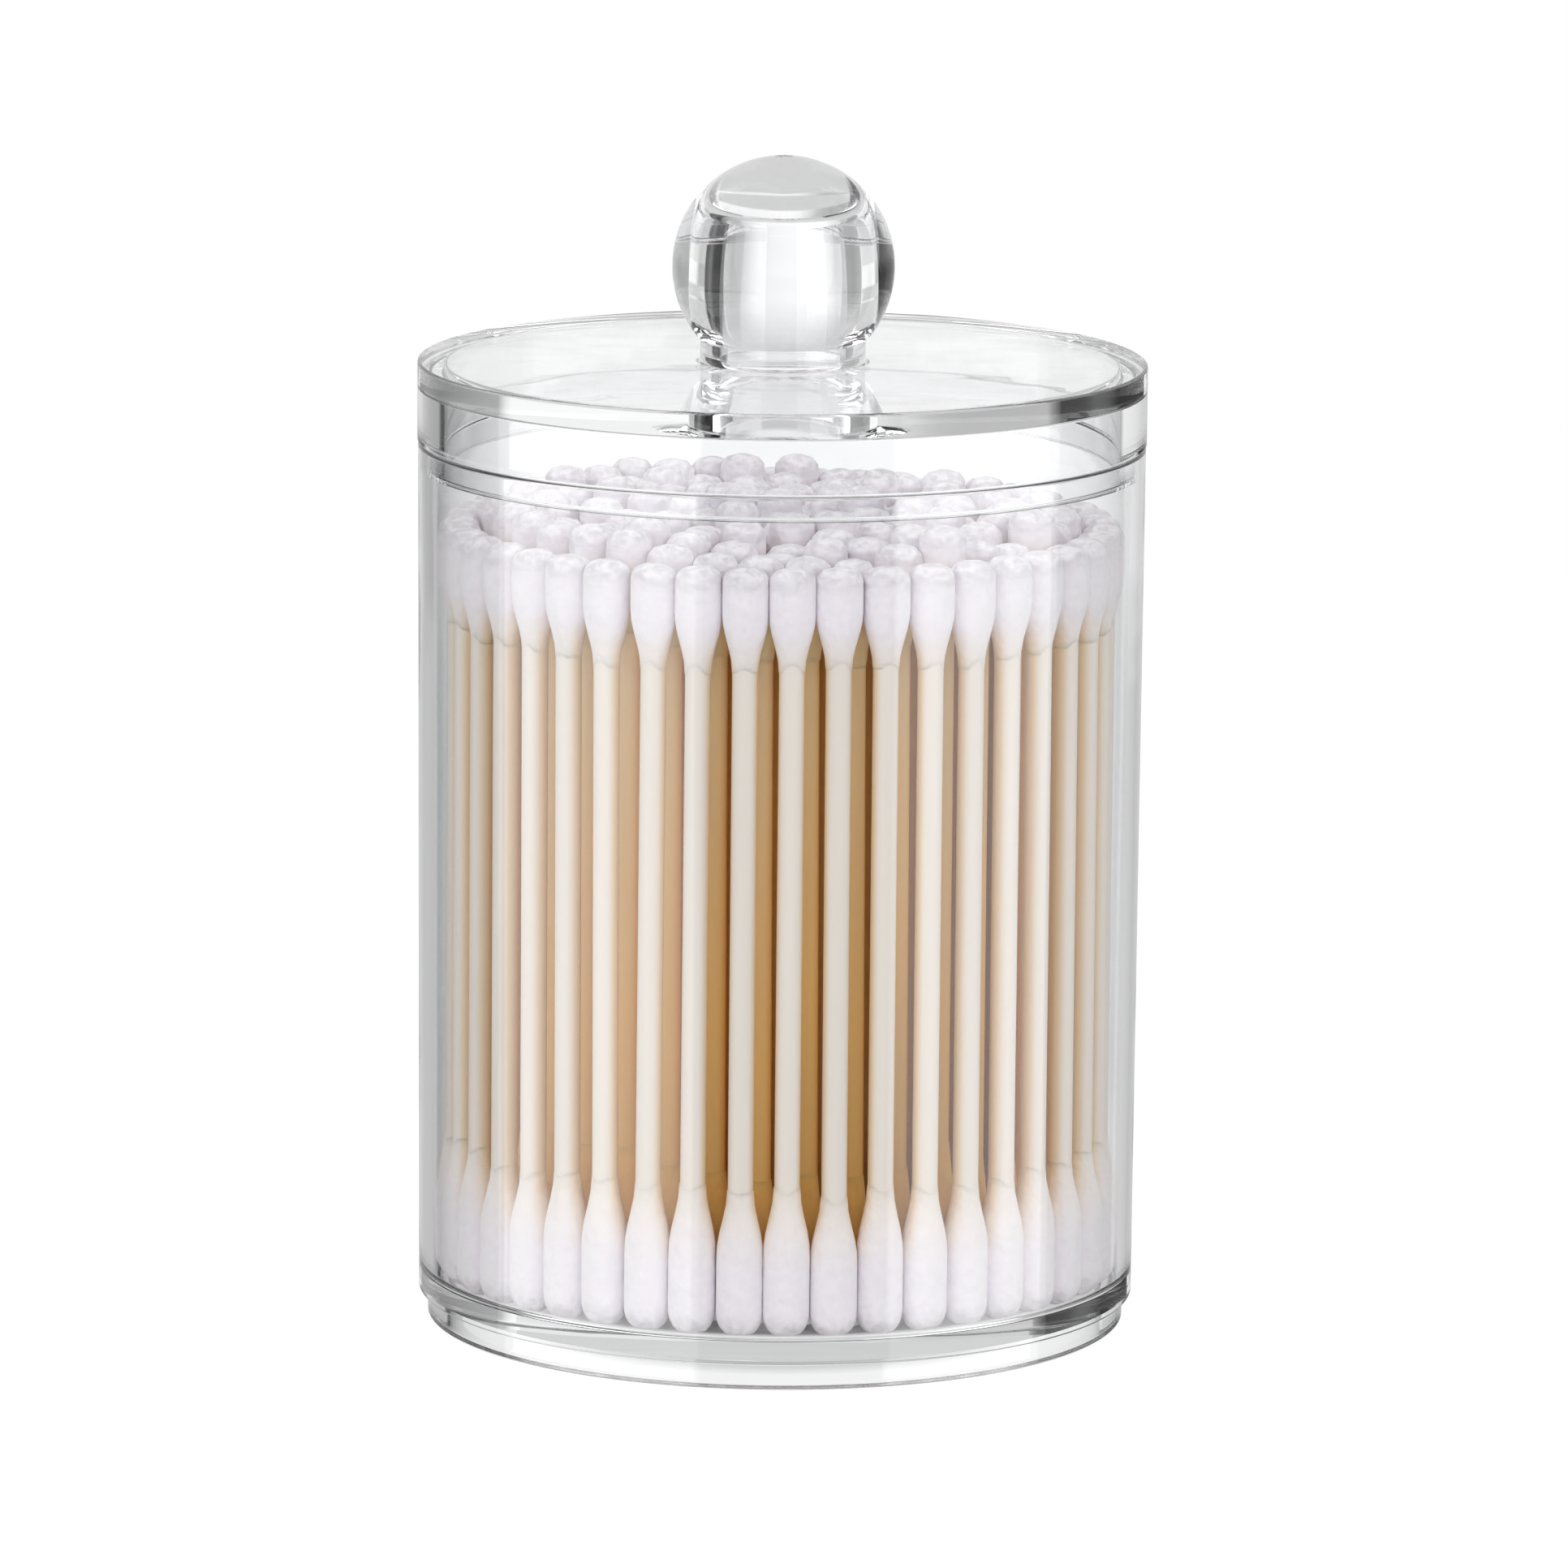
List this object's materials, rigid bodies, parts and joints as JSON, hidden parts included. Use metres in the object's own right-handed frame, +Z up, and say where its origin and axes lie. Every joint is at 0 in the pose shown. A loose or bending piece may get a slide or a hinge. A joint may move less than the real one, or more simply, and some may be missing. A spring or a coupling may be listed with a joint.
{
  "type": "cotton swab storage jar",
  "caption": "Round clear plastic jar with a lift-off lid and a hollow ball knob, holding double-ended cotton swabs on wooden sticks that stand upright.",
  "frame": {"origin": "middle of the foot, on the surface that the jar stands on", "axes": "+Z up along the jar's axis, -Y towards the front; the jar is round, so X and Y are free"},
  "size_m": [0.0702, 0.0702, 0.1134],
  "materials": {
    "clear_plastic": "clear, polished moulded plastic",
    "stick_wood": "plain pale bamboo, smooth turned",
    "cotton": "soft white wound cotton, slightly fuzzy"
  },
  "bodies": {
    "jar": {"jar_body": "clear_plastic", "sticks_sector_1": "stick_wood", "sticks_sector_2": "stick_wood", "sticks_sector_3": "stick_wood", "sticks_sector_4": "stick_wood", "sticks_sector_5": "stick_wood", "sticks_sector_6": "stick_wood", "upper_tips_sector_1": "cotton", "upper_tips_sector_2": "cotton", "upper_tips_sector_3": "cotton", "upper_tips_sector_4": "cotton", "upper_tips_sector_5": "cotton", "upper_tips_sector_6": "cotton", "lower_tips_sector_1": "cotton", "lower_tips_sector_2": "cotton", "lower_tips_sector_3": "cotton", "lower_tips_sector_4": "cotton", "lower_tips_sector_5": "cotton", "lower_tips_sector_6": "cotton"},
    "lid": {"lid": "clear_plastic"}
  },
  "joints": [
    {"name": "lid_lift", "type": "slide", "parent": "jar", "child": "lid", "axis": [0, 0, 1], "range_m": [0, 0.05]}
  ]
}
